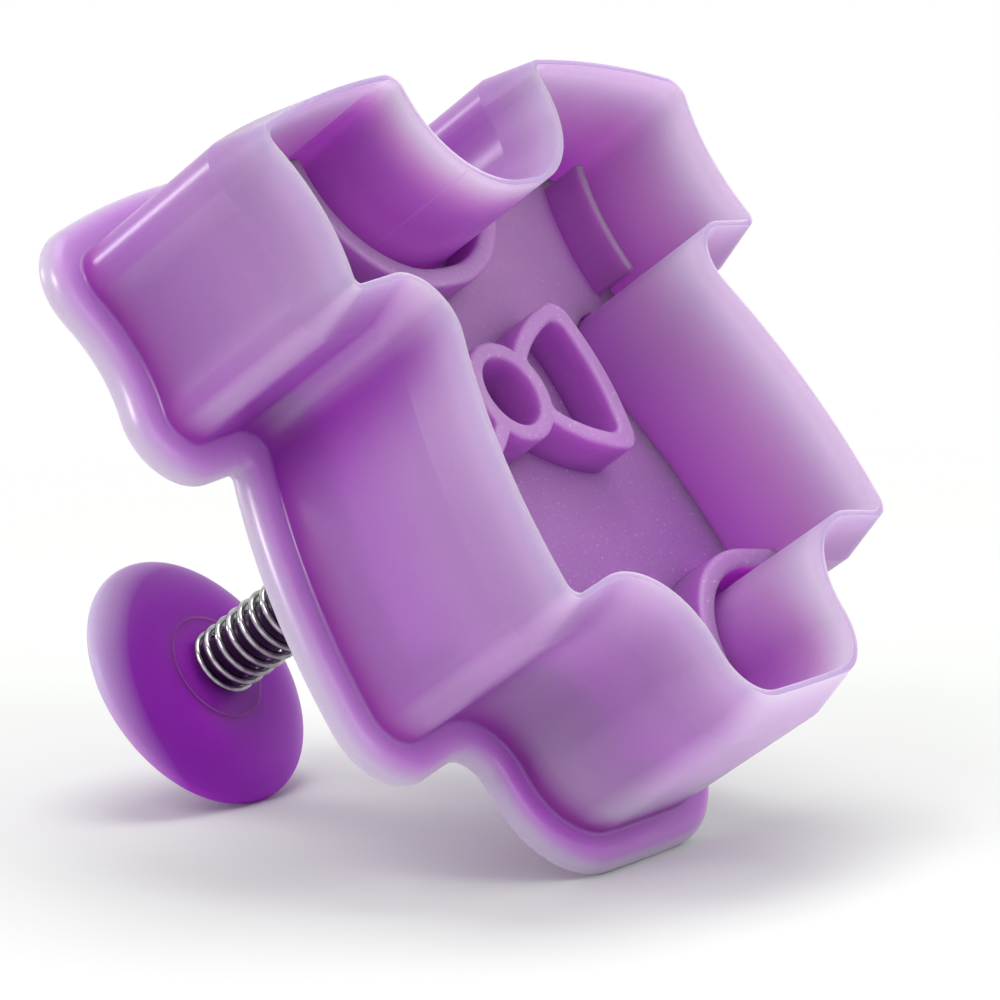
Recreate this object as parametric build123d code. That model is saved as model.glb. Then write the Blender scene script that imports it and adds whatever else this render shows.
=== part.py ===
from build123d import *
import math
import os

# Plunger cutter that cuts and embosses a baby's bodysuit in sugar paste, in millimetres.
# The cutting edge lies in z = 0, the plunger rises along Z, and +Y runs from the neck to the crotch.

# Outline at the middle of the cutting edge, measured from the plunger's axis
collar_reach = 28.5
collar_width = 19.7
neck_width = 19.5
neck_depth = 11.2
neck_radius = 8.9
shoulder_drop = 3.7
shoulder_bulge = 0.72
sleeve_span = 61.0
cuff_drop = 14.65
cuff_slant = 0.8
cuff_hollow = 1.6
armpit_width = 32.8
armpit_rise = 1.2
armpit_radius = 4.1
side_drop = 30.4
side_bulge = 2.4
hip_width = 48.4
leg_rise = 2.6
leg_radius = 7.6
leg_depth = 14.4
crotch_width = 19.6
crotch_radius = 4.6
crotch_bulge = 0.2
collar_tip_radius = 1.1
shoulder_radius = 1.4
cuff_radius = 0.8
hip_radius = 1.4

# Shell
edge_thickness = 0.5
wall_thickness = 2.0
bevel_height = 5.3
cavity_depth = 21.5
web_thickness = 2.4
flange_width = 2.85
flange_front_share = 0.66
flange_back_share = 0.27
crease_radius = 0.3
least_radius = 0.25
room_share = 0.95

# Guide collar on the back of the shell
collar_diameter = 10.6
collar_height = 8.0
collar_fillet = 1.0
collar_edge = 0.4
spring_seat_depth = 1.5
slide_clearance = 0.08

# Stamp plate
plate_clearance = 0.25
stamp_height = 5.5
plate_thickness = 2.0
skirt_thickness = 1.5
rest_gap = 0.1
rib_height = 4.4
rib_edge = 0.5
rib_edge_share = 0.42
socket_diameter = 9.0
socket_floor = 1.0
boss_gap = 0.3
glue_gap = 0.03

# Embossed bow, neckline, cuffs and leg openings
knot_reach = 3.7
knot_hole_diameter = 6.5
knot_width = 1.6
loop_reach = 14.3
loop_spread = 50
loop_end = 7.7
loop_side_bulge = 0.9
loop_end_bulge = 1.3
loop_corner = 2.0
loop_root_corner = 0.6
loop_side_width = 1.65
loop_end_width = 1.8
loop_hole_corner = 1.3
trim_inset = 0.7
trim_width = 1.9
cuff_ridge_inset = 1.9
cuff_ridge_width = 0.9
cuff_ridge_top_gap = 0.3
cuff_ridge_low_gap = 2.0

# Plunger stem and knob
stem_diameter = 4.4
stem_head_diameter = 10.0
stem_head_thickness = 2.0
stem_spigot = 3.0
knob_diameter = 24.6
knob_hub_diameter = 12.4
knob_rim_thickness = 1.05
knob_under_slope = 44
knob_crown_slope = 30

# Return spring
spring_diameter = 6.6
spring_wire = 0.72
spring_room = 23.6
spring_pitch = 1.54
spring_end_gap = 0.46
spring_seat_gap = 0.05
spring_side_clearance = 0.3
gap_sample_steps = 6

# Working values of the model
overrun = 1.0
pick = 0.01
half_turn = 180
quarter_turn = 90
half = 0.5


def side_curve(start, end, bulge, grow):
    """Line (point and way) or circle (centre and radius) of a side, moved outward, the right of its way."""
    half = math.dist(start, end) / 2
    way = ((end[0] - start[0]) / (2 * half), (end[1] - start[1]) / (2 * half))
    outward = (way[1], -way[0])
    if not bulge:
        return (start[0] + outward[0] * grow, start[1] + outward[1] * grow), way, 0
    radius = (half ** 2 + bulge ** 2) / (2 * abs(bulge))
    inset = (radius - abs(bulge)) * math.copysign(1, -bulge)
    middle = ((start[0] + end[0]) / 2, (start[1] + end[1]) / 2)
    centre = (middle[0] + outward[0] * inset, middle[1] + outward[1] * inset)
    return centre, way, radius + math.copysign(grow, grow * bulge)


def meet(first, second, near):
    """Crossing of two side curves nearest to a point."""
    if first[2] and not second[2]:
        first, second = second, first
    (ax, ay), (wx, wy), a_radius = first
    (bx, by), (vx, vy), b_radius = second
    if not a_radius and not b_radius:
        step = ((bx - ax) * vy - (by - ay) * vx) / (wx * vy - wy * vx)
        return (ax + wx * step, ay + wy * step)
    if a_radius:
        gap = math.hypot(bx - ax, by - ay)
        reach = (gap ** 2 + a_radius ** 2 - b_radius ** 2) / (2 * gap)
        ux, uy = (bx - ax) / gap, (by - ay) / gap
        foot = (ax + ux * reach, ay + uy * reach)
        wx, wy = -uy, ux
        rise = math.sqrt(a_radius ** 2 - reach ** 2)
    else:
        reach = (bx - ax) * wx + (by - ay) * wy
        foot = (ax + wx * reach, ay + wy * reach)
        rise = math.sqrt(b_radius ** 2 - math.dist(foot, (bx, by)) ** 2)
    ends = [(foot[0] + wx * rise, foot[1] + wy * rise), (foot[0] - wx * rise, foot[1] - wy * rise)]
    return min(ends, key=lambda end: math.dist(end, near))


def mirrored(point):
    return (-point[0], point[1])


def rounded(face, corner, radius):
    """Rounds the corner at the given plan point, and its mirror image."""
    near = [v for v in face.vertices() if abs(abs(v.X) - corner[0]) < pick and abs(v.Y - corner[1]) < pick]
    return face.fillet_2d(radius, near)


def nearest(curve, point):
    """Point of a side curve nearest to the given point."""
    base, way, radius = curve
    from_x, from_y = point[0] - base[0], point[1] - base[1]
    if radius:
        reach = radius / math.hypot(from_x, from_y)
        return (base[0] + from_x * reach, base[1] + from_y * reach)
    reach = from_x * way[0] + from_y * way[1]
    return (base[0] + way[0] * reach, base[1] + way[1] * reach)


def heading(curve, point):
    """Direction of a side curve at one of its points."""
    base, way, radius = curve
    if not radius:
        return way
    turn = (base[1] - point[1], point[0] - base[0])
    length = math.copysign(math.hypot(*turn), turn[0] * way[0] + turn[1] * way[1])
    return (turn[0] / length, turn[1] / length)


def between(first, second):
    return ((first[0] + second[0]) / 2, (first[1] + second[1]) / 2)


def drawn(points):
    return Line(*points) if len(points) == 2 else ThreePointArc(*points)


# Corners of the right half of the outline
collar_tip = (collar_width / 2, -collar_reach)
neck_corner = (neck_width / 2, neck_depth - collar_reach)
shoulder = (sleeve_span / 2, shoulder_drop - collar_reach)
cuff = (shoulder[0] - cuff_slant, shoulder[1] + cuff_drop)
armpit = (armpit_width / 2, cuff[1] - armpit_rise)
hip = (hip_width / 2, armpit[1] + side_drop)
leg_corner = (crotch_width / 2, hip[1] - leg_rise)
crotch = (crotch_width / 2, leg_corner[1] + leg_depth)
corners = [neck_corner, collar_tip, shoulder, cuff, armpit, hip, leg_corner, crotch]
corner_radii = [
    neck_radius,
    collar_tip_radius,
    shoulder_radius,
    cuff_radius,
    armpit_radius,
    hip_radius,
    leg_radius,
    crotch_radius,
]
hollow_corners = [neck_corner, armpit, leg_corner]
bulges = [0, 0, shoulder_bulge, -cuff_hollow, 0, side_bulge, 0, 0, crotch_bulge]


def side_curves(grow):
    stops = [mirrored(neck_corner)] + corners + [mirrored(crotch)]
    return [side_curve(stops[i], stops[i + 1], bulges[i], grow) for i in range(len(bulges))]


def fitted_radii():
    """Corner radii, smaller where two roundings would meet on the side between them."""
    curves = side_curves(0)
    reaches = [0]
    for i, corner in enumerate(corners):
        first, second = heading(curves[i], corner), heading(curves[i + 1], corner)
        turn = math.acos(first[0] * second[0] + first[1] * second[1])
        reaches.append(corner_radii[i] * math.tan(turn / 2))
    reaches.append(0)
    stops = [(0, neck_corner[1])] + corners + [(0, crotch[1])]
    shares = []
    for i in range(len(stops) - 1):
        room = room_share * math.dist(stops[i], stops[i + 1])
        shares.append(min(1, room / (reaches[i] + reaches[i + 1])))
    return [radius * min(shares[i:i + 2]) for i, radius in enumerate(corner_radii)]


def passed(curve, first, second):
    """Whether two points of a side curve lie against its way."""
    way = heading(curve, first)
    return (second[0] - first[0]) * way[0] + (second[1] - first[1]) * way[1] < 0


def garment(grow):
    """The bodysuit with every side moved outward, its corners rounded about the same centres.

    Where a hollow corner passes the next corner, the side between them is gone and their arcs meet.
    """
    curves = side_curves(grow)
    before, after = curves[:-1], curves[1:]
    arcs = []
    for i, corner in enumerate(corners):
        side = -1 if corner in hollow_corners else 1
        radius = max(fitted[i] + side * grow, least_radius)
        inner = side_curves(grow - side * radius)
        arcs.append((meet(inner[i], inner[i + 1], corner), None, radius))
    for i, corner in enumerate(corners):
        if corner not in hollow_corners:
            continue
        turn = meet(curves[i], curves[i + 1], corner)
        radius = arcs[i][2]
        inner = side_curves(grow + radius)
        feet = [nearest(curves[i], arc[0]) for arc in arcs[max(i - 1, 0):i + 1]]
        if i and passed(curves[i], *feet):
            beside = (arcs[i - 1][0], (1, 0), arcs[i - 1][2] + radius)
            arcs[i] = (meet(beside, inner[i + 1], turn), None, radius)
            before[i], after[i - 1] = arcs[i - 1], arcs[i]
        feet = [nearest(curves[i + 1], arc[0]) for arc in arcs[i:i + 2]]
        if passed(curves[i + 1], *feet):
            beside = (arcs[i + 1][0], (1, 0), arcs[i + 1][2] + radius)
            arcs[i] = (meet(beside, inner[i], turn), None, radius)
            after[i], before[i + 1] = arcs[i + 1], arcs[i]
    turns = []
    for i, arc in enumerate(arcs):
        touches = [nearest(before[i], arc[0]), nearest(after[i], arc[0])]
        turns.append((touches[0], nearest(arc, between(*touches)), touches[1]))

    def side_points(i, start, end):
        return (start, nearest(curves[i], between(start, end)), end) if curves[i][2] else (start, end)

    low, high = turns[0][0], turns[-1][-1]
    sides = [side_points(i + 1, turns[i][-1], turns[i + 1][0]) for i in range(len(turns) - 1)]
    sides = [points for points in sides if math.dist(points[0], points[-1]) > pick]
    middle = [side_points(0, mirrored(low), low), side_points(-1, high, mirrored(high))]
    left = [[mirrored(point) for point in piece] for piece in turns + sides]
    return make_face([drawn(points) for points in middle + turns + sides + left]).face()


fitted = fitted_radii()


def level(shape, height):
    return Pos(0, 0, height) * shape


def edges_at(solid, height):
    return solid.edges().filter_by_position(Axis.Z, height - pick, height + pick)


def post(radius, low, high):
    """Round solid about the plunger's axis between two heights."""
    return level(Cylinder(radius, high - low, align=(Align.CENTER, Align.CENTER, Align.MIN)), low)


wall_grow = wall_thickness - edge_thickness / 2
edge_face = garment(edge_thickness / 2)
cavity_face = garment(-edge_thickness / 2)
wall_face = garment(wall_grow)
flange_face = garment(wall_grow + flange_width)

# Origin: the middle of the flange in plan
flange_box = flange_face.bounding_box()
origin_y = (flange_box.min.Y + flange_box.max.Y) / 2


# Cutter shell: bevelled blade, straight wall, rounded flange, back web and guide collar
back_z = cavity_depth + web_thickness
collar_z = back_z + collar_height
seat_z = collar_z - spring_seat_depth
wall_line = level(wall_face, cavity_depth).outer_wire()
blade = loft([edge_face, level(wall_face, bevel_height)], ruled=True)
wall = extrude(level(wall_face, bevel_height), cavity_depth + web_thickness / 2 - bevel_height)
flange = extrude(level(flange_face, cavity_depth), web_thickness)
flange = fillet(edges_at(flange, cavity_depth), flange_front_share * web_thickness)
flange = fillet(edges_at(flange, back_z), flange_back_share * web_thickness)
shell = blade + wall + flange
crease = [e for e in edges_at(shell, cavity_depth) if wall_line.distance_to(e @ half) < pick]
shell = fillet(crease, crease_radius)
cavity = extrude(level(cavity_face, -overrun), cavity_depth + overrun)
shell = shell - cavity
guide = post(collar_diameter / 2, back_z, collar_z)
guide = fillet(edges_at(guide, collar_z), collar_edge)
shell = shell + guide
foot = [e for e in edges_at(shell, back_z) if abs(e.length - math.pi * collar_diameter) < pick]
shell = fillet(foot, collar_fillet)
bore = post(stem_diameter / 2 + slide_clearance, cavity_depth - overrun, collar_z)
spring_seat = post(spring_diameter / 2 + spring_side_clearance, seat_z, collar_z + overrun)
shell = shell - bore - spring_seat
print("shell", len(shell.solids()), shell.volume)


# Stamp plate: plate with a skirt that runs in the cavity, and a socket for the stem
wall_to_stamp = edge_thickness / 2 + plate_clearance
skirt_top = cavity_depth - rest_gap
plate_depth = skirt_top - stamp_height
stamp_face = garment(-wall_to_stamp)
skirt_inner = garment(-wall_to_stamp - skirt_thickness)
plate_back = plate_depth + plate_thickness
stamp = extrude(level(stamp_face, plate_depth), skirt_top - plate_depth)
stamp = stamp - extrude(level(skirt_inner, plate_back), cavity_depth - plate_back)
socket_top = cavity_depth - boss_gap
boss = post(socket_diameter / 2, plate_back, socket_top)
socket_z = plate_depth + socket_floor
socket = post(stem_diameter / 2 + glue_gap, socket_z, cavity_depth)
stamp = stamp + boss - socket

# Ribs of the stamp: bow with its knot
knot_radius = knot_hole_diameter / 2 + knot_width


def loop_face(side_inset, end_inset, corner_radius):
    """Right loop of the bow as a filled shape from the knot's centre, its swollen sides moved in."""
    side = loop_reach - loop_end_bulge
    turns = [loop_start, (side, -loop_end), (side, loop_end), (loop_start[0], -loop_start[1])]
    first = side_curve(turns[0], turns[1], loop_side_bulge, -side_inset)
    outer = side_curve(turns[1], turns[2], loop_end_bulge, -end_inset)
    last = side_curve(turns[2], turns[3], loop_side_bulge, -side_inset)
    stops = [nearest(first, turns[0]), meet(first, outer, turns[1])]
    stops += [meet(outer, last, turns[2]), nearest(last, turns[3])]
    sides = [Line(stops[3], stops[0])]
    for i, curve in enumerate((first, outer, last)):
        sides.append(ThreePointArc(stops[i], nearest(curve, between(*stops[i:i + 2])), stops[i + 1]))
    face = make_face(sides).face()
    for corner in stops[1:3]:
        face = rounded(face, corner, corner_radius)
    return face


loop_angle = math.radians(loop_spread)
knot_middle = knot_radius - knot_width / 2
loop_start = (knot_middle * math.cos(loop_angle), -knot_middle * math.sin(loop_angle))
loop = loop_face(0, 0, loop_corner)
loop_hole = loop_face(loop_side_width, loop_end_width, loop_hole_corner)
band = loop - loop_hole
bow = Circle(knot_radius) + band + Rot(0, 0, half_turn) * band - Circle(knot_hole_diameter / 2)
loop_turn = (loop_reach - loop_end_bulge, -loop_end)
hole_side = side_curve(loop_start, loop_turn, loop_side_bulge, -loop_side_width)
hole_root = meet(hole_side, ((0, 0), (1, 0), knot_radius), loop_start)
bow = bow.face()
for corner in (hole_root, (hole_root[0], -hole_root[1])):
    bow = rounded(bow, corner, loop_root_corner)
bow = Pos(0, -knot_reach) * bow

# Trims that follow the neckline and the leg openings
trim_reach = wall_to_stamp + trim_inset + trim_width


def neck_notch(grow):
    """The neck scoop, carried on past the collar, with its sides moved into the garment."""
    side, floor, top = neck_corner[0] + grow, neck_corner[1] + grow, collar_tip[1] - neck_radius
    radius = min(neck_radius + grow, room_share * side)
    turns = [(-side, top), (side, top), (side, floor), (-side, floor)]
    face = make_face(Polyline(*turns, close=True)).face()
    return rounded(face, turns[2], radius)


def leg_notch(grow):
    """The right leg opening, carried on past the hip, with its sides moved into the garment."""
    hip_line = side_curve(hip, leg_corner, 0, -grow)
    side_line = side_curve(leg_corner, crotch, 0, -grow)
    turn = meet(hip_line, side_line, leg_corner)
    far_x, low_y = hip[0] + leg_radius, crotch[1] + leg_radius
    slope = (hip[1] - leg_corner[1]) / (hip[0] - leg_corner[0])
    turns = [turn, (far_x, turn[1] + (far_x - turn[0]) * slope), (far_x, low_y), (turn[0], low_y)]
    face = make_face(Polyline(*turns, close=True)).face()
    return rounded(face, turn, leg_radius + grow)


neck_trim = neck_notch(trim_reach) - neck_notch(trim_reach - trim_width)
leg_trim = leg_notch(trim_reach) - leg_notch(trim_reach - trim_width)

# Cuff ridges, parallel to the cuffs
ridge_inset = cuff_ridge_inset + cuff_ridge_width / 2
cuff_centre, _, ridge_radius = side_curve(shoulder, cuff, -cuff_hollow, -ridge_inset)
ridge_top = shoulder[1] + wall_to_stamp + cuff_ridge_top_gap + cuff_ridge_width / 2
ridge_low = cuff[1] - wall_to_stamp - cuff_ridge_low_gap - cuff_ridge_width / 2
ridge_ends = [math.degrees(math.asin((y - cuff_centre[1]) / ridge_radius)) for y in (ridge_top, ridge_low)]
ridge_arc = CenterArc(cuff_centre, ridge_radius, half_turn - ridge_ends[0], ridge_ends[0] - ridge_ends[1])
cuff_ridge = SlotArc(ridge_arc, cuff_ridge_width)

rib_tip = plate_depth - rib_height
rib_room = extrude(level(stamp_face, rib_tip), rib_height)
bow_width = min(knot_width, loop_side_width, loop_end_width)
ribs = (
    (bow, bow_width, False),
    (neck_trim, trim_width, False),
    (leg_trim, trim_width, True),
    (cuff_ridge, cuff_ridge_width, True),
)
for sketch, width, paired in ribs:
    rib = extrude(sketch, rib_height)
    rib = fillet(edges_at(rib, 0), min(rib_edge, rib_edge_share * width))
    rib = level(rib, rib_tip) & rib_room
    stamp = stamp + rib
    if paired:
        stamp = stamp + mirror(rib, about=Plane.YZ)
print("stamp", len(stamp.solids()), stamp.volume)

# Plunger stem: rod, flanged head and spigot
knob_clear_height = seat_z + spring_room
stem_z = socket_z + glue_gap
head_top = knob_clear_height + stem_head_thickness
stem = post(stem_diameter / 2, stem_z, head_top + stem_spigot)
stem = stem + post(stem_head_diameter / 2, knob_clear_height, head_top)

# Push knob: a mushroom turned about the axis, with a recess for the stem's head
hub_radius = knob_hub_diameter / 2
knob_radius = knob_diameter / 2
low_rise = math.tan(math.radians(quarter_turn + knob_under_slope) / 2)
high_rise = math.tan(math.radians(quarter_turn + knob_crown_slope) / 2)
rim_inner = knob_radius - knob_rim_thickness / (low_rise + high_rise)
rim_z = knob_clear_height + (rim_inner - hub_radius) * math.tan(math.radians(knob_under_slope) / 2)
widest_z = rim_z + (knob_radius - rim_inner) * low_rise
rim_top = rim_z + knob_rim_thickness
crown_z = rim_top + rim_inner * math.tan(math.radians(knob_crown_slope) / 2)
recess_radius = stem_head_diameter / 2 + glue_gap
spigot_radius = stem_diameter / 2 + glue_gap
recess_top = head_top + glue_gap
spigot_top = head_top + stem_spigot + glue_gap
knob_profile = make_face(
    [
        Line((0, spigot_top), (spigot_radius, spigot_top)),
        Line((spigot_radius, spigot_top), (spigot_radius, recess_top)),
        Line((spigot_radius, recess_top), (recess_radius, recess_top)),
        Line((recess_radius, recess_top), (recess_radius, knob_clear_height)),
        Line((recess_radius, knob_clear_height), (hub_radius, knob_clear_height)),
        TangentArc((hub_radius, knob_clear_height), (rim_inner, rim_z), tangent=(1, 0)),
        TangentArc((knob_radius, widest_z), (rim_inner, rim_z), tangent=(0, -1)),
        TangentArc((knob_radius, widest_z), (rim_inner, rim_top), tangent=(0, 1)),
        TangentArc((0, crown_z), (rim_inner, rim_top), tangent=(1, 0)),
        Line((0, crown_z), (0, spigot_top)),
    ]
)
knob = revolve(Plane.XZ * knob_profile, Axis.Z)
print("knob", len(knob.solids()), knob.volume)

# Return spring: one unbroken wire with closer turns at both ends
coil_radius = (spring_diameter - spring_wire) / 2
spring_end_pitch = spring_wire + spring_end_gap
spring_low = seat_z + spring_wire / 2 + spring_seat_gap
spring_high = knob_clear_height - spring_wire / 2 - spring_seat_gap
open_turns = (spring_high - spring_low - 2 * spring_end_pitch) / spring_pitch
half_turns = 2 * (round(open_turns) + 2)
open_pitch = (spring_high - spring_low - 2 * spring_end_pitch) / (half_turns / 2 - 2)
print("turns", half_turns / 2, "open pitch", open_pitch)


def spring_point(step):
    """Point and direction of the wire after a number of half turns."""
    turns = step / 2
    last = half_turns / 2 - 1
    if turns <= 1:
        rise, pitch = turns * spring_end_pitch, spring_end_pitch
    elif turns >= last:
        rise = spring_end_pitch + (last - 1) * open_pitch + (turns - last) * spring_end_pitch
        pitch = spring_end_pitch
    else:
        rise, pitch = spring_end_pitch + (turns - 1) * open_pitch, open_pitch
    if turns in (1, last):
        pitch = (spring_end_pitch + open_pitch) / 2
    angle = math.pi * step
    point = Vector(coil_radius * math.cos(angle), coil_radius * math.sin(angle), spring_low + rise)
    way = Vector(-coil_radius * math.sin(angle), coil_radius * math.cos(angle), pitch / (2 * math.pi))
    return point, way.normalized()


def biarc(start, start_way, end, end_way):
    """Two arcs that meet with a common direction."""
    span = end - start
    both = start_way + end_way
    spread = 2 * (1 - start_way.dot(end_way))
    reach = (math.sqrt(span.dot(both) ** 2 + spread * span.dot(span)) - span.dot(both)) / spread
    middle = (start + start_way * reach + end - end_way * reach) / 2
    first = Edge.make_tangent_arc(start, start_way, middle)
    return [first, Edge.make_tangent_arc(middle, first % 1, end)]


wire_arcs = []
for step in range(half_turns):
    wire_arcs += biarc(*spring_point(step), *spring_point(step + 1))
path = Wire(wire_arcs)
start, way = spring_point(0)
spring = sweep(Plane(start, z_dir=way) * Circle(spring_wire / 2), path=path)
samples = []
for arc in wire_arcs:
    samples += [arc @ (k / gap_sample_steps) for k in range(gap_sample_steps)]
half_turn_samples = 2 * gap_sample_steps
least = min(
    (samples[i] - samples[j]).length
    for i in range(len(samples))
    for j in range(i + half_turn_samples, min(i + 3 * half_turn_samples, len(samples)))
)
print("spring gap to itself", round(least - spring_wire, 3), "length", path.length, "volume", spring.volume)
print("section times length", math.pi * (spring_wire / 2) ** 2 * path.length)

os.makedirs("parts", exist_ok=True)
for name, solid in (
    ("cutter_shell", shell),
    ("stamp_plate", stamp),
    ("plunger_stem", stem),
    ("push_knob", knob),
    ("return_spring", spring),
):
    export_step(Pos(0, -origin_y, 0) * solid, "parts/" + name + ".step")
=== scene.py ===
import math
import bpy
from mathutils import Matrix, Quaternion, Vector


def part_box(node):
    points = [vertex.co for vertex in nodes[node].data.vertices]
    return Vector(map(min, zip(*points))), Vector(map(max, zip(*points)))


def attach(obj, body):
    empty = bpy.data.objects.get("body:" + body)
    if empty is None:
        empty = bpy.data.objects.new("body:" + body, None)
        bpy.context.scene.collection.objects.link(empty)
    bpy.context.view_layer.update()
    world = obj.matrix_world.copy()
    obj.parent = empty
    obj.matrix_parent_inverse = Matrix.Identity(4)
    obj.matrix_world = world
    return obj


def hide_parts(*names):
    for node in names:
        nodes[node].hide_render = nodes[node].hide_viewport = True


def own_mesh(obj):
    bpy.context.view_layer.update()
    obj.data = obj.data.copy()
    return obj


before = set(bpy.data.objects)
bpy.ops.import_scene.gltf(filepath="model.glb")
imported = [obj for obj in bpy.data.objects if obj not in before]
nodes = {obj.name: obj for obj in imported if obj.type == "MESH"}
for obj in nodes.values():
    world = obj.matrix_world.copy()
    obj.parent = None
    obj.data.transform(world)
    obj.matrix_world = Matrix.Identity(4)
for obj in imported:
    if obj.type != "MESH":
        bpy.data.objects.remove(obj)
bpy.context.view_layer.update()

# Plunger cutter shaped as a baby's bodysuit, photographed from below on a white floor.
# It lies on the rim of its knob and on the crotch end of its flange. Metres, in the part's own frame:
# +Z runs from the cutting edge to the knob, +Y from the neck to the crotch, +X across the sleeves.
mm = 0.001


def rgb(red, green, blue):
    """Linear colour of a screen colour given from 0 to 255."""
    def linear(value):
        share = value / 255
        return share / 12.92 if share <= 0.04045 else ((share + 0.055) / 1.055) ** 2.4
    return (linear(red), linear(green), linear(blue), 1.0)


# Colours of the walls by height above the cutting edge in millimetres, outside and inside; paler near the
# blade and the flange's edge as painted light through thin plastic, darker deeper in and at the crease as
# painted shade
outer_stops = [
    (0.0, rgb(144, 126, 168)),
    (0.5, rgb(144, 128, 172)),
    (1.5, rgb(154, 132, 172)),
    (3.0, rgb(151, 126, 165)),
    (5.0, rgb(153, 120, 168)),
    (8.0, rgb(159, 120, 174)),
    (14.0, rgb(158, 105, 177)),
    (18.0, rgb(156, 93, 177)),
    (21.1, rgb(152, 63, 158)),
    (21.45, rgb(162, 122, 180)),
    (22.6, rgb(169, 164, 182)),
    (24.0, rgb(172, 166, 186)),
]
inner_stops = [
    (0.0, rgb(144, 126, 168)),
    (0.5, rgb(158, 150, 178)),
    (1.5, rgb(176, 172, 192)),
    (3.0, rgb(170, 170, 184)),
    (5.0, rgb(173, 160, 182)),
    (8.0, rgb(169, 140, 176)),
    (14.0, rgb(158, 108, 174)),
    (21.2, rgb(152, 90, 168)),
    (24.0, rgb(152, 90, 168)),
]
# Painted shade for closed corners and creases, and for the neck's scoop
crevice_shade_violet = rgb(160, 62, 182)
collar_shade_violet = rgb(136, 56, 152)
back_violet = rgb(166, 112, 186)
# Painted sheen: paler corners, leg walls and end wall where they catch the light from the floor
corner_sheen_lilac = rgb(190, 166, 204)
end_sheen_lilac = rgb(208, 188, 224)

# Colours of the stamp, the knob, the stem, the spring and the floor
plate_low = rgb(166, 108, 186)
# Painted light on the plate and the ribs towards the neck
plate_lit_top = rgb(202, 146, 218)
rib_low = rgb(174, 126, 190)
rib_lit_top = rgb(186, 132, 202)
# Painted shade on the ribs' sides and in corners, lightened as painted light at the cuffs
side_shade_near = rgb(160, 97, 174)
side_lit_far = rgb(214, 106, 240)
fleck_lilac = rgb(206, 178, 216)
knob_violet = rgb(140, 42, 168)
knob_bright = rgb(156, 42, 184)
knob_pale = rgb(176, 140, 192)
knob_lilac = rgb(194, 184, 212)
seam_lilac = rgb(180, 70, 206)
# Painted shade on the stem's rod between the coils
stem_shade_violet = rgb(62, 30, 74)
shadow_steel = (0.03, 0.03, 0.03, 1.0)
dark_steel = (0.30, 0.31, 0.30, 1.0)
steel = (0.5, 0.5, 0.49, 1.0)
floor_white = (0.81, 0.83, 0.80, 1.0)


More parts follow.
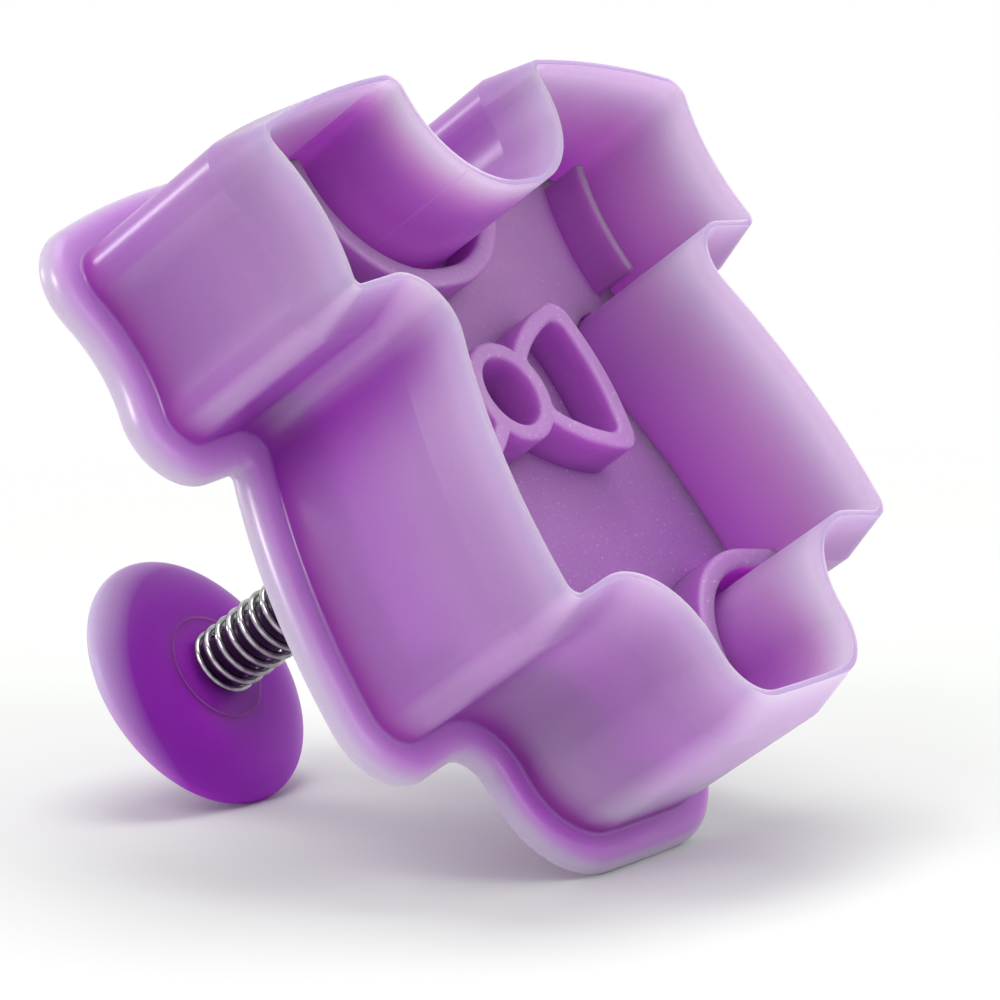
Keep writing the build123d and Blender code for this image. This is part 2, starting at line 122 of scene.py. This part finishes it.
class NodeTree:
    """The nodes of one material or of the world, with short calls for the ones used here."""

    openness_rays = 6

    def __init__(self, owner, output):
        owner.use_nodes = True
        self.nodes = owner.node_tree.nodes
        self.links = owner.node_tree.links
        self.nodes.clear()
        self.output = self.add(output)
        self.source = None

    def add(self, kind, **settings):
        node = self.nodes.new(kind)
        for key, value in settings.items():
            setattr(node, key, value)
        return node

    def fill(self, slot, value):
        """Link an output to the slot, or write a plain value into it."""
        if isinstance(value, bpy.types.NodeSocket):
            self.links.new(value, slot)
        else:
            slot.default_value = value

    def finish(self, surface):
        self.fill(self.output.inputs["Surface"], surface)

    def coordinates(self, name="Object"):
        if self.source is None:
            self.source = self.add("ShaderNodeTexCoord")
        return self.source.outputs[name]

    def place(self, letter):
        """Place along one axis of the part, in metres."""
        return self.along(self.coordinates(), letter)

    def facing(self, letter):
        """How far the surface faces along one axis of the part, from -1 to 1."""
        return self.along(self.coordinates("Normal"), letter)

    def along(self, vector, letter):
        split = self.add("ShaderNodeSeparateXYZ")
        self.fill(split.inputs[0], vector)
        return split.outputs[letter]

    def math(self, operation, *values):
        node = self.add("ShaderNodeMath", operation=operation)
        for slot, value in zip(node.inputs, values):
            self.fill(slot, value)
        return node.outputs[0]

    def chain(self, operation, first, *others):
        for value in others:
            first = self.math(operation, first, value)
        return first

    def product(self, *values):
        return self.chain("MULTIPLY", *values)

    def sum(self, *values):
        return self.chain("ADD", *values)

    def largest(self, *values):
        return self.chain("MAXIMUM", *values)

    def share(self, source, limits):
        """Share of the way between two limits that a value stands at."""
        node = self.add("ShaderNodeMapRange")
        for name, limit in zip(("From Min", "From Max"), limits):
            node.inputs[name].default_value = limit
        self.fill(node.inputs["Value"], source)
        return node.outputs["Result"]

    def between(self, share, limits):
        """Value that stands at a share of the way between two limits."""
        node = self.add("ShaderNodeMapRange")
        for name, limit in zip(("To Min", "To Max"), limits):
            node.inputs[name].default_value = limit
        self.fill(node.inputs["Value"], share)
        return node.outputs["Result"]

    def ramp(self, share, stops):
        """Colour ramp; stops are (share, colour)."""
        ramp = self.add("ShaderNodeValToRGB")
        elements = ramp.color_ramp.elements
        while len(elements) < len(stops):
            elements.new(0.5)
        for element, (position, colour) in zip(elements, stops):
            element.position = position
            element.color = colour
        self.fill(ramp.inputs["Fac"], share)
        return ramp.outputs["Color"]

    def mix(self, share, first, second):
        """The first colour where share is 0, the second where it is 1."""
        node = self.add("ShaderNodeMix", data_type="RGBA")
        slots = {slot.identifier: slot for slot in node.inputs}
        for name, value in (("Factor_Float", share), ("A_Color", first), ("B_Color", second)):
            self.fill(slots[name], value)
        return next(slot for slot in node.outputs if slot.identifier == "Result_Color")

    def scaled(self, colour, factor):
        node = self.add("ShaderNodeVectorMath", operation="SCALE")
        self.fill(node.inputs[0], colour)
        self.fill(node.inputs["Scale"], factor)
        return node.outputs["Vector"]

    def mottled(self, colour, source, amount):
        """The colour made lighter and darker by a noise."""
        return self.scaled(colour, self.between(source, (1 - amount, 1 + amount)))

    def noise(self, size, detail=3.0):
        """Noise whose features measure about the given size in metres."""
        node = self.add("ShaderNodeTexNoise")
        node.inputs["Scale"].default_value = 1 / size
        node.inputs["Detail"].default_value = detail
        self.fill(node.inputs["Vector"], self.coordinates())
        return node.outputs["Fac"]

    def openness(self, reach):
        """How much of the space within reach stands open before the surface, from 0 to 1."""
        node = self.add("ShaderNodeAmbientOcclusion", samples=self.openness_rays, only_local=True)
        node.inputs["Distance"].default_value = reach
        return node.outputs["AO"]

    def bump(self, source, height, below=None):
        node = self.add("ShaderNodeBump")
        node.inputs["Distance"].default_value = height
        node.inputs["Strength"].default_value = 1.0
        self.fill(node.inputs["Height"], source)
        if below is not None:
            self.fill(node.inputs["Normal"], below)
        return node.outputs["Normal"]

    def principled(self, values):
        """Surface shader with its sockets filled by name."""
        shader = self.add("ShaderNodeBsdfPrincipled")
        for name, value in values.items():
            self.fill(shader.inputs[name], value)
        self.finish(shader.outputs[0])

    def seen(self):
        """1 for rays of the camera, of gloss and through clear pieces; 0 for those that light."""
        rays = self.add("ShaderNodeLightPath").outputs
        return self.largest(rays["Is Camera Ray"], rays["Is Glossy Ray"], rays["Is Transmission Ray"])


def new_material(name):
    material = bpy.data.materials.new(name)
    return material, NodeTree(material, "ShaderNodeOutputMaterial")


# Milky plastic of the shell, the stamp, the knob and the stem
plastic_ior = 1.5
cloud_size = 9 * mm
cloud_amount = 0.05
fleck_size = 0.35 * mm
fleck_amount = 0.025
wave_size = 14 * mm
wave_height = 0.05 * mm
gloss_spread = 0.02
glow_shares = (1.0, 0.6, 1.0)


def moulded(name, colour_of, gloss, shine, grain_size, grain_height, glow_depth):
    """Violet plastic: a body colour with cloudy pigment, fine surface grain and soft light inside."""
    material, tree = new_material(name)
    colour = tree.mottled(colour_of(tree), tree.noise(cloud_size, detail=2.0), cloud_amount)
    colour = tree.mottled(colour, tree.noise(fleck_size, detail=1.0), fleck_amount)
    waves = tree.bump(tree.noise(wave_size, detail=1.0), wave_height)
    tree.principled({
        "Base Color": colour,
        "Roughness": tree.between(tree.noise(cloud_size / 2), (gloss - gloss_spread, gloss + gloss_spread)),
        "Normal": tree.bump(tree.noise(grain_size, detail=2.0), grain_height, below=waves),
        "IOR": plastic_ior,
        "Specular IOR Level": shine,
        "Subsurface Weight": 1.0,
        "Subsurface Scale": glow_depth,
        "Subsurface Radius": glow_shares,
    })
    return material


# Shell: palest at the thin blade and at the flange's rounded edge as painted light through thin plastic,
# saturated in its closed corners as painted shade, with painted sheen on corners that face the crotch
ramp_height = 24 * mm
outline_middle = -15 * mm
side_limits = (-0.1 * mm, 0.1 * mm)
collar_half = 12.2 * mm
collar_start = -20.5 * mm
collar_lean = 8 * mm
neck_floor = -17 * mm
neck_closeness = 1.6
flange_heights = (21.2 * mm, 21.5 * mm)
back_heights = (24.3 * mm, 25 * mm)
back_facings = (0.6, 0.95)
corner_way = (0.64, 0.77)
corner_facings = (0.82, 0.96)
corner_places = (22 * mm, 16 * mm)
corner_heights = (20.5 * mm, 17 * mm)
corner_sheen_share = 0.5
leg_places = (18 * mm, 24 * mm)
leg_openness = 0.25
leg_closeness = 0.6
leg_start_heights = (10 * mm, 17 * mm)
leg_end_heights = (20.5 * mm, 18.5 * mm)
leg_sheen_share = 0.45
end_facings = (0.7, 0.95)
end_places = (24 * mm, 29 * mm)
end_heights = (20.5 * mm, 18 * mm)
end_sheen_share = 0.6
crease_heights = (22.1 * mm, 21.55 * mm)
crease_shade_share = 0.5
scoop_heights = (3 * mm, 9 * mm)
scoop_places = (7 * mm, 2 * mm)
scoop_shade_share = 0.6
edge_heights = (10 * mm, 1 * mm)
shell_reach = 22 * mm
shell_openness = (0.35, 0.85)


def in_neck(tree, start):
    """1 between the neck's sides, from the given place to the collar; 0 elsewhere."""
    across = tree.math("LESS_THAN", tree.math("ABSOLUTE", tree.place("X")), collar_half)
    return tree.product(across, tree.math("LESS_THAN", tree.place("Y"), start))


def outer_share(tree):
    """Share of the walls' outer side, found from the surface's direction and its place in the outline."""
    sideways = tree.product(tree.facing("X"), tree.place("X"))
    endways = tree.product(tree.facing("Y"), tree.math("SUBTRACT", tree.place("Y"), outline_middle))
    around = tree.sum(sideways, endways)
    leaning = tree.product(tree.facing("Y"), collar_lean)
    hollow = tree.product(tree.sum(sideways, leaning), -1.0)
    change = tree.product(in_neck(tree, collar_start), tree.math("SUBTRACT", hollow, around))
    return tree.share(tree.sum(around, change), side_limits)


def on_flange(tree):
    return tree.share(tree.place("Z"), flange_heights)


def on_back(tree):
    """Share of the web's back face and of the guide collar on it."""
    face = tree.product(tree.share(tree.facing("Z"), back_facings), on_flange(tree))
    return tree.largest(face, tree.share(tree.place("Z"), back_heights))


def on_sheen_corner(tree):
    """Share of the painted sheen: paler strips down the rounded corners that turn towards the crotch."""
    sideways = tree.product(tree.math("ABSOLUTE", tree.facing("X")), corner_way[0])
    facing = tree.sum(sideways, tree.product(tree.facing("Y"), corner_way[1]))
    return tree.product(
        tree.share(facing, corner_facings),
        corner_sheen_share,
        tree.share(tree.place("Y"), corner_places),
        tree.share(tree.place("Z"), corner_heights),
    )


def wall_colours(tree, height, stops):
    """Colours of a wall by height, from stops in millimetres."""
    shares = [(z * mm / ramp_height, tint) for z, tint in stops]
    return tree.ramp(tree.share(height, (0, ramp_height)), shares)


def outer_colour(tree, height, on_legs):
    """The walls' outside and the flange, with painted shade in closed places, the flange's crease and the
    neck's scoop, and painted sheen on the corners, leg walls and end wall.
    """
    # Painted shade: crevice violet where little space stands open before the surface, kept off the thin
    # blade and the flange
    openness = tree.sum(tree.openness(shell_reach), tree.product(on_legs, leg_openness))
    near_edge = tree.share(height, edge_heights)
    unshaded_share = tree.largest(tree.share(openness, shell_openness), near_edge, on_flange(tree))
    colour = tree.mix(unshaded_share, crevice_shade_violet, wall_colours(tree, height, outer_stops))
    colour = tree.mix(on_sheen_corner(tree), colour, corner_sheen_lilac)
    # Painted sheen: a paler band on the leg walls
    leg_sheen = tree.product(
        tree.share(height, leg_start_heights),
        tree.share(height, leg_end_heights),
        on_legs,
        leg_sheen_share,
    )
    colour = tree.mix(leg_sheen, colour, corner_sheen_lilac)
    # Painted sheen on the crotch end wall
    end_sheen = tree.product(
        tree.share(tree.facing("Y"), end_facings),
        tree.share(tree.place("Y"), end_places),
        tree.share(height, end_heights),
        end_sheen_share,
    )
    colour = tree.mix(end_sheen, colour, end_sheen_lilac)
    # Painted shade in the flange's crease on the legs
    crease = tree.product(tree.share(height, crease_heights), on_legs, on_flange(tree), crease_shade_share)
    colour = tree.mix(crease, colour, crevice_shade_violet)
    # Painted shade on the neck's scoop, on its side away from the lights
    scoop = tree.product(
        in_neck(tree, neck_floor),
        tree.share(height, scoop_heights),
        tree.share(tree.place("X"), scoop_places),
        scoop_shade_share,
    )
    return tree.mix(scoop, colour, collar_shade_violet)


def inner_colour(tree, height, on_legs):
    """The walls' inside, whose painted shade turns deeper and more saturated sooner in the narrow neck and
    legs.
    """
    in_narrow = tree.sum(tree.product(in_neck(tree, neck_floor), neck_closeness), 1.0)
    closer = tree.sum(in_narrow, tree.product(on_legs, leg_closeness))
    return wall_colours(tree, tree.product(height, closer), inner_stops)


def shell_colour(tree):
    height = tree.place("Z")
    on_legs = tree.share(tree.place("Y"), leg_places)
    outside = tree.largest(outer_share(tree), on_flange(tree))
    walls = tree.mix(outside, inner_colour(tree, height, on_legs), outer_colour(tree, height, on_legs))
    return tree.mix(on_back(tree), walls, back_violet)


# Stamp: paler on the plate and on the ribs' tops, with painted light towards the neck; painted shade, more
# saturated, on the ribs' sides and in corners
stamp_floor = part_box("stamp_plate")[0].z
rib_heights = (stamp_floor + 1.5 * mm, stamp_floor + 0.5 * mm)
neck_places = (12 * mm, -20 * mm)
cuff_places = (15 * mm, 18 * mm)
flat_facings = (0.2, 0.8)
stamp_reach = 8 * mm
stamp_openness = (0.3, 0.75)
sparkle_size = 0.3 * mm
sparkle_levels = (0.7, 0.9)


def stamp_colour(tree):
    lit_toward_neck = tree.share(tree.place("Y"), neck_places)
    on_ribs = tree.share(tree.place("Z"), rib_heights)
    low = tree.mix(on_ribs, plate_low, rib_low)
    top = tree.mix(lit_toward_neck, low, tree.mix(on_ribs, plate_lit_top, rib_lit_top))
    at_cuffs = tree.share(tree.math("ABSOLUTE", tree.place("X")), cuff_places)
    side = tree.mix(at_cuffs, side_shade_near, side_lit_far)
    # Painted shade: the side colour on the ribs' sides and where little space stands open
    flat = tree.share(tree.math("ABSOLUTE", tree.facing("Z")), flat_facings)
    open_share = tree.share(tree.openness(stamp_reach), stamp_openness)
    colour = tree.mix(tree.product(flat, open_share), side, top)
    sparkle = tree.share(tree.noise(sparkle_size, detail=0.0), sparkle_levels)
    return tree.mix(tree.product(sparkle, flat), colour, fleck_lilac)


# Knob: dark violet, paler towards the rim on the side that the window lights
knob_low, knob_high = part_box("push_knob")
knob_centre = (knob_low + knob_high) / 2
knob_radius = (knob_high.x - knob_low.x) / 2
knob_stops = [
    (0.0, knob_violet),
    (0.5, knob_bright),
    (0.82, knob_violet),
    (0.93, knob_pale),
    (1.0, knob_lilac),
]
knob_shades = (0.74, 1.26)
pale_way = (0.77, 0.64)
pale_shift = 3.2 * mm
seam_radius = 5.05 * mm
seam_width = 0.2 * mm
head_heights = (knob_low.z - 0.5 * mm, knob_low.z)


def radius_from(tree, centre_x, centre_y):
    """Distance from an upright axis."""
    across = tree.math("SUBTRACT", tree.place("X"), centre_x)
    along = tree.math("SUBTRACT", tree.place("Y"), centre_y)
    return tree.math("SQRT", tree.sum(tree.product(across, across), tree.product(along, along)))


def knob_colour(tree):
    """The knob's colour, with the joint circle that shows on its underside."""
    shifts = [way * pale_shift for way in pale_way]
    reach = radius_from(tree, knob_centre.x + shifts[0], knob_centre.y + shifts[1])
    colour = tree.ramp(tree.share(reach, (0, knob_radius + pale_shift)), knob_stops)
    radius = radius_from(tree, knob_centre.x, knob_centre.y)
    off_seam = tree.math("ABSOLUTE", tree.math("SUBTRACT", radius, seam_radius))
    at_seam = tree.share(off_seam, (seam_width, seam_width / 3))
    below = tree.share(tree.place("Z"), (knob_centre.z, knob_low.z))
    colour = tree.mix(tree.product(at_seam, below), colour, seam_lilac)
    lit = tree.share(tree.place("Y"), (knob_centre.y - knob_radius, knob_centre.y + knob_radius))
    return tree.scaled(colour, tree.between(lit, knob_shades))


def stem_colour(tree):
    """The knob's violet on the head, darker on the rod between the coils as painted shade."""
    on_head = tree.share(tree.place("Z"), head_heights)
    return tree.mix(on_head, stem_shade_violet, knob_colour(tree))


def dress(name, material):
    mesh = nodes[name].data
    mesh.materials.clear()
    mesh.materials.append(material)


dress("cutter_shell", moulded(
    "shell_plastic", shell_colour, gloss=0.305, shine=0.42,
    grain_size=0.25 * mm, grain_height=0.004 * mm, glow_depth=10 * mm,
))
dress("stamp_plate", moulded(
    "stamp_plastic", stamp_colour, gloss=0.4, shine=0.35,
    grain_size=0.3 * mm, grain_height=0.05 * mm, glow_depth=10 * mm,
))
dress("push_knob", moulded(
    "knob_plastic", knob_colour, gloss=0.36, shine=0.15,
    grain_size=0.25 * mm, grain_height=0.004 * mm, glow_depth=4 * mm,
))
dress("plunger_stem", moulded(
    "stem_plastic", stem_colour, gloss=0.34, shine=0.15,
    grain_size=0.25 * mm, grain_height=0.004 * mm, glow_depth=4 * mm,
))

# Return spring: one drawn wire wound round the stem, with closer turns at both ends
wire_width = 0.72 * mm
spring_turns = 15
end_pitch = 1.18 * mm
turn_steps = 48
wire_sides = 16
stain_size = 0.8 * mm
coil_reach = 1.6 * mm
coil_openness = (0.35, 0.8)
polish_size = 0.4 * mm
polish = (0.1, 0.2)
scratch_size = 0.12 * mm
scratch_height = 0.002 * mm


def spring_material():
    """Bright steel, with painted shade where the coils stand close to each other and to the stem."""
    material, tree = new_material("spring_steel")
    colour = tree.ramp(tree.noise(stain_size, detail=2.0), [(0.3, dark_steel), (0.7, steel)])
    out_of_shade = tree.share(tree.openness(coil_reach), coil_openness)
    tree.principled({
        "Base Color": tree.mix(out_of_shade, shadow_steel, colour),
        "Roughness": tree.between(tree.noise(polish_size), polish),
        "Normal": tree.bump(tree.noise(scratch_size, detail=2.0), scratch_height),
        "Metallic": 1.0,
    })
    return material


def coil_points(low, high):
    """Rings of points round the wire, turn by turn from the seat to the knob."""
    centre = (low + high) / 2
    radius = (high.x - low.x) / 2 - wire_width / 2
    first, last = low.z + wire_width / 2, high.z - wire_width / 2
    open_pitch = (last - first - 2 * end_pitch) / (spring_turns - 2)
    points = []
    for i in range(spring_turns * turn_steps + 1):
        turn = i / turn_steps
        rise = min(turn, 1) * end_pitch + max(0, min(turn, spring_turns - 1) - 1) * open_pitch
        rise += max(0, turn - spring_turns + 1) * end_pitch
        angle = 2 * math.pi * turn
        across, along = math.cos(angle), math.sin(angle)
        outward = Vector((across, along, 0))
        way = Vector((-along * radius, across * radius, open_pitch / (2 * math.pi))).normalized()
        rise_way = way.cross(outward)
        middle = Vector((centre.x, centre.y, first + rise)) + outward * radius
        for k in range(wire_sides):
            around = 2 * math.pi * k / wire_sides
            spoke = outward * math.cos(around) + rise_way * math.sin(around)
            points.append(middle + spoke * wire_width / 2)
    return points


def coil_faces():
    """Faces between the rings, and one at each end of the wire."""
    rings = spring_turns * turn_steps
    faces = []
    for i in range(rings):
        for k in range(wire_sides):
            a, b = i * wire_sides + k, i * wire_sides + (k + 1) % wire_sides
            faces.append((a, b, b + wire_sides, a + wire_sides))
    faces.append(tuple(range(wire_sides))[::-1])
    faces.append(tuple(rings * wire_sides + k for k in range(wire_sides)))
    return faces


def make_spring():
    low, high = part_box("return_spring")
    mesh = bpy.data.meshes.new("return_spring_wire")
    mesh.from_pydata([tuple(point) for point in coil_points(low, high)], [], coil_faces())
    mesh.update()
    mesh.polygons.foreach_set("use_smooth", [len(face.vertices) == 4 for face in mesh.polygons])
    wire_piece = bpy.data.objects.new("return_spring_wire", mesh)
    bpy.context.scene.collection.objects.link(wire_piece)
    mesh.materials.append(spring_material())
    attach(wire_piece, "cutter")
    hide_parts("return_spring")
    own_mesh(wire_piece)


make_spring()

# Floor: the plane that touches both the shell and the knob from below in the photograph
floor_size = 6.0
floor_near = 0.12
floor_far = 0.3
tilt_limits = (10, 60)
tilt_halvings = 40


def up_at(angle):
    return Vector((0, -math.cos(angle), -math.sin(angle)))


def lowest(name, up):
    return min(up.dot(vertex.co) for vertex in nodes[name].data.vertices)


def floor_up():
    """Direction in which the shell and the knob reach equally low, found by halving."""
    flat, steep = (math.radians(limit) for limit in tilt_limits)
    for _ in range(tilt_halvings):
        tilt = (flat + steep) / 2
        up = up_at(tilt)
        if lowest("cutter_shell", up) < lowest("push_knob", up):
            flat = tilt
        else:
            steep = tilt
    return up


def floor_material():
    """Matt floor, seen from its upper side only, that fades into the background far from the cutter."""
    material, tree = new_material("floor_white")
    away = tree.add("ShaderNodeVectorMath", operation="LENGTH")
    tree.fill(away.inputs[0], tree.coordinates())
    far = tree.add("ShaderNodeMapRange", interpolation_type="SMOOTHSTEP")
    far.inputs["From Min"].default_value = floor_near
    far.inputs["From Max"].default_value = floor_far
    tree.fill(far.inputs["Value"], away.outputs["Value"])
    fade = tree.product(tree.seen(), far.outputs["Result"])
    hidden = tree.largest(fade, tree.add("ShaderNodeNewGeometry").outputs["Backfacing"])
    matt = tree.add("ShaderNodeBsdfDiffuse")
    matt.inputs["Color"].default_value = floor_white
    mix = tree.add("ShaderNodeMixShader")
    tree.fill(mix.inputs["Fac"], hidden)
    tree.fill(mix.inputs[1], matt.outputs[0])
    tree.fill(mix.inputs[2], tree.add("ShaderNodeBsdfTransparent").outputs[0])
    tree.finish(mix.outputs[0])
    return material


def make_floor():
    up = floor_up()
    middle = up * lowest("push_knob", up)
    side_way = Vector((1, 0, 0))
    deep_way = up.cross(side_way)
    signs = ((-1, -1), (1, -1), (1, 1), (-1, 1))
    corners = [middle + side_way * a * floor_size + deep_way * b * floor_size for a, b in signs]
    mesh = bpy.data.meshes.new("floor")
    mesh.from_pydata([tuple(corner) for corner in corners], [], [(0, 1, 2, 3)])
    mesh.update()
    floor = bpy.data.objects.new("floor", mesh)
    bpy.context.scene.collection.objects.link(floor)
    mesh.materials.append(floor_material())


make_floor()

# Camera at the photograph's angle
camera_spot = Vector((-298.87, 72.82, -187.71)) * mm
camera_aim = Vector((3.35, 1.18, 20.54)) * mm
camera_roll = math.radians(-126.66)
camera = bpy.data.cameras.new("camera")
camera.lens = 156.5
camera.sensor_width = 36
camera.clip_start = 0.01
camera_piece = bpy.data.objects.new("camera", camera)
bpy.context.scene.collection.objects.link(camera_piece)
bpy.context.scene.camera = camera_piece
back = (camera_spot - camera_aim).normalized()
rise = Vector((0, 0, 1))
level = (rise - back * rise.dot(back)).normalized()
level.rotate(Quaternion(back, camera_roll))
right = level.cross(back)
camera_turn = Matrix((right, level, back)).transposed().to_4x4()
camera_piece.matrix_world = Matrix.Translation(camera_spot) @ camera_turn


# Soft studio light: a large window from the upper left, a fill from the right and one from above
def lamp(name, across, high, near, width, power, gloss_only=False):
    """Round lamp that aims at the cutter, placed from it along the camera's right, up and back."""
    data = bpy.data.lights.new(name, "AREA")
    data.shape = "DISK"
    data.size = width
    data.energy = power
    piece = bpy.data.objects.new(name, data)
    bpy.context.scene.collection.objects.link(piece)
    spot = camera_aim + right * across + level * high + back * near
    turn = (spot - camera_aim).to_track_quat("Z", "Y").to_matrix().to_4x4()
    piece.matrix_world = Matrix.Translation(spot) @ turn
    piece.visible_diffuse = not gloss_only


lamp("key_window", across=-0.45, high=0.5, near=0.55, width=0.5, power=1.7)
lamp("fill_right", across=0.6, high=0.45, near=0.5, width=0.5, power=1.8)
lamp("top_light", across=0.0, high=0.85, near=0.05, width=0.6, power=2.8)

# Two small lamps that show in the gloss alone, as streaks along rounded edges
lamp("glint_strip", across=-0.45, high=0.5, near=0.55, width=0.12, power=3.2, gloss_only=True)
lamp("glint_left", across=-0.9, high=0.3, near=-0.15, width=0.16, power=1.8, gloss_only=True)

# White surroundings, a little dimmer as a light than as a background
surroundings_light = 0.72
world = bpy.data.worlds.new("studio")
bpy.context.scene.world = world
world_tree = NodeTree(world, "ShaderNodeOutputWorld")
background = world_tree.add("ShaderNodeBackground")
background.inputs["Color"].default_value = (1.0, 1.0, 1.0, 1.0)
brightness = world_tree.between(world_tree.seen(), (surroundings_light, 1.0))
world_tree.fill(background.inputs["Strength"], brightness)
world_tree.finish(background.outputs[0])

bpy.context.scene.view_settings.view_transform = "Standard"
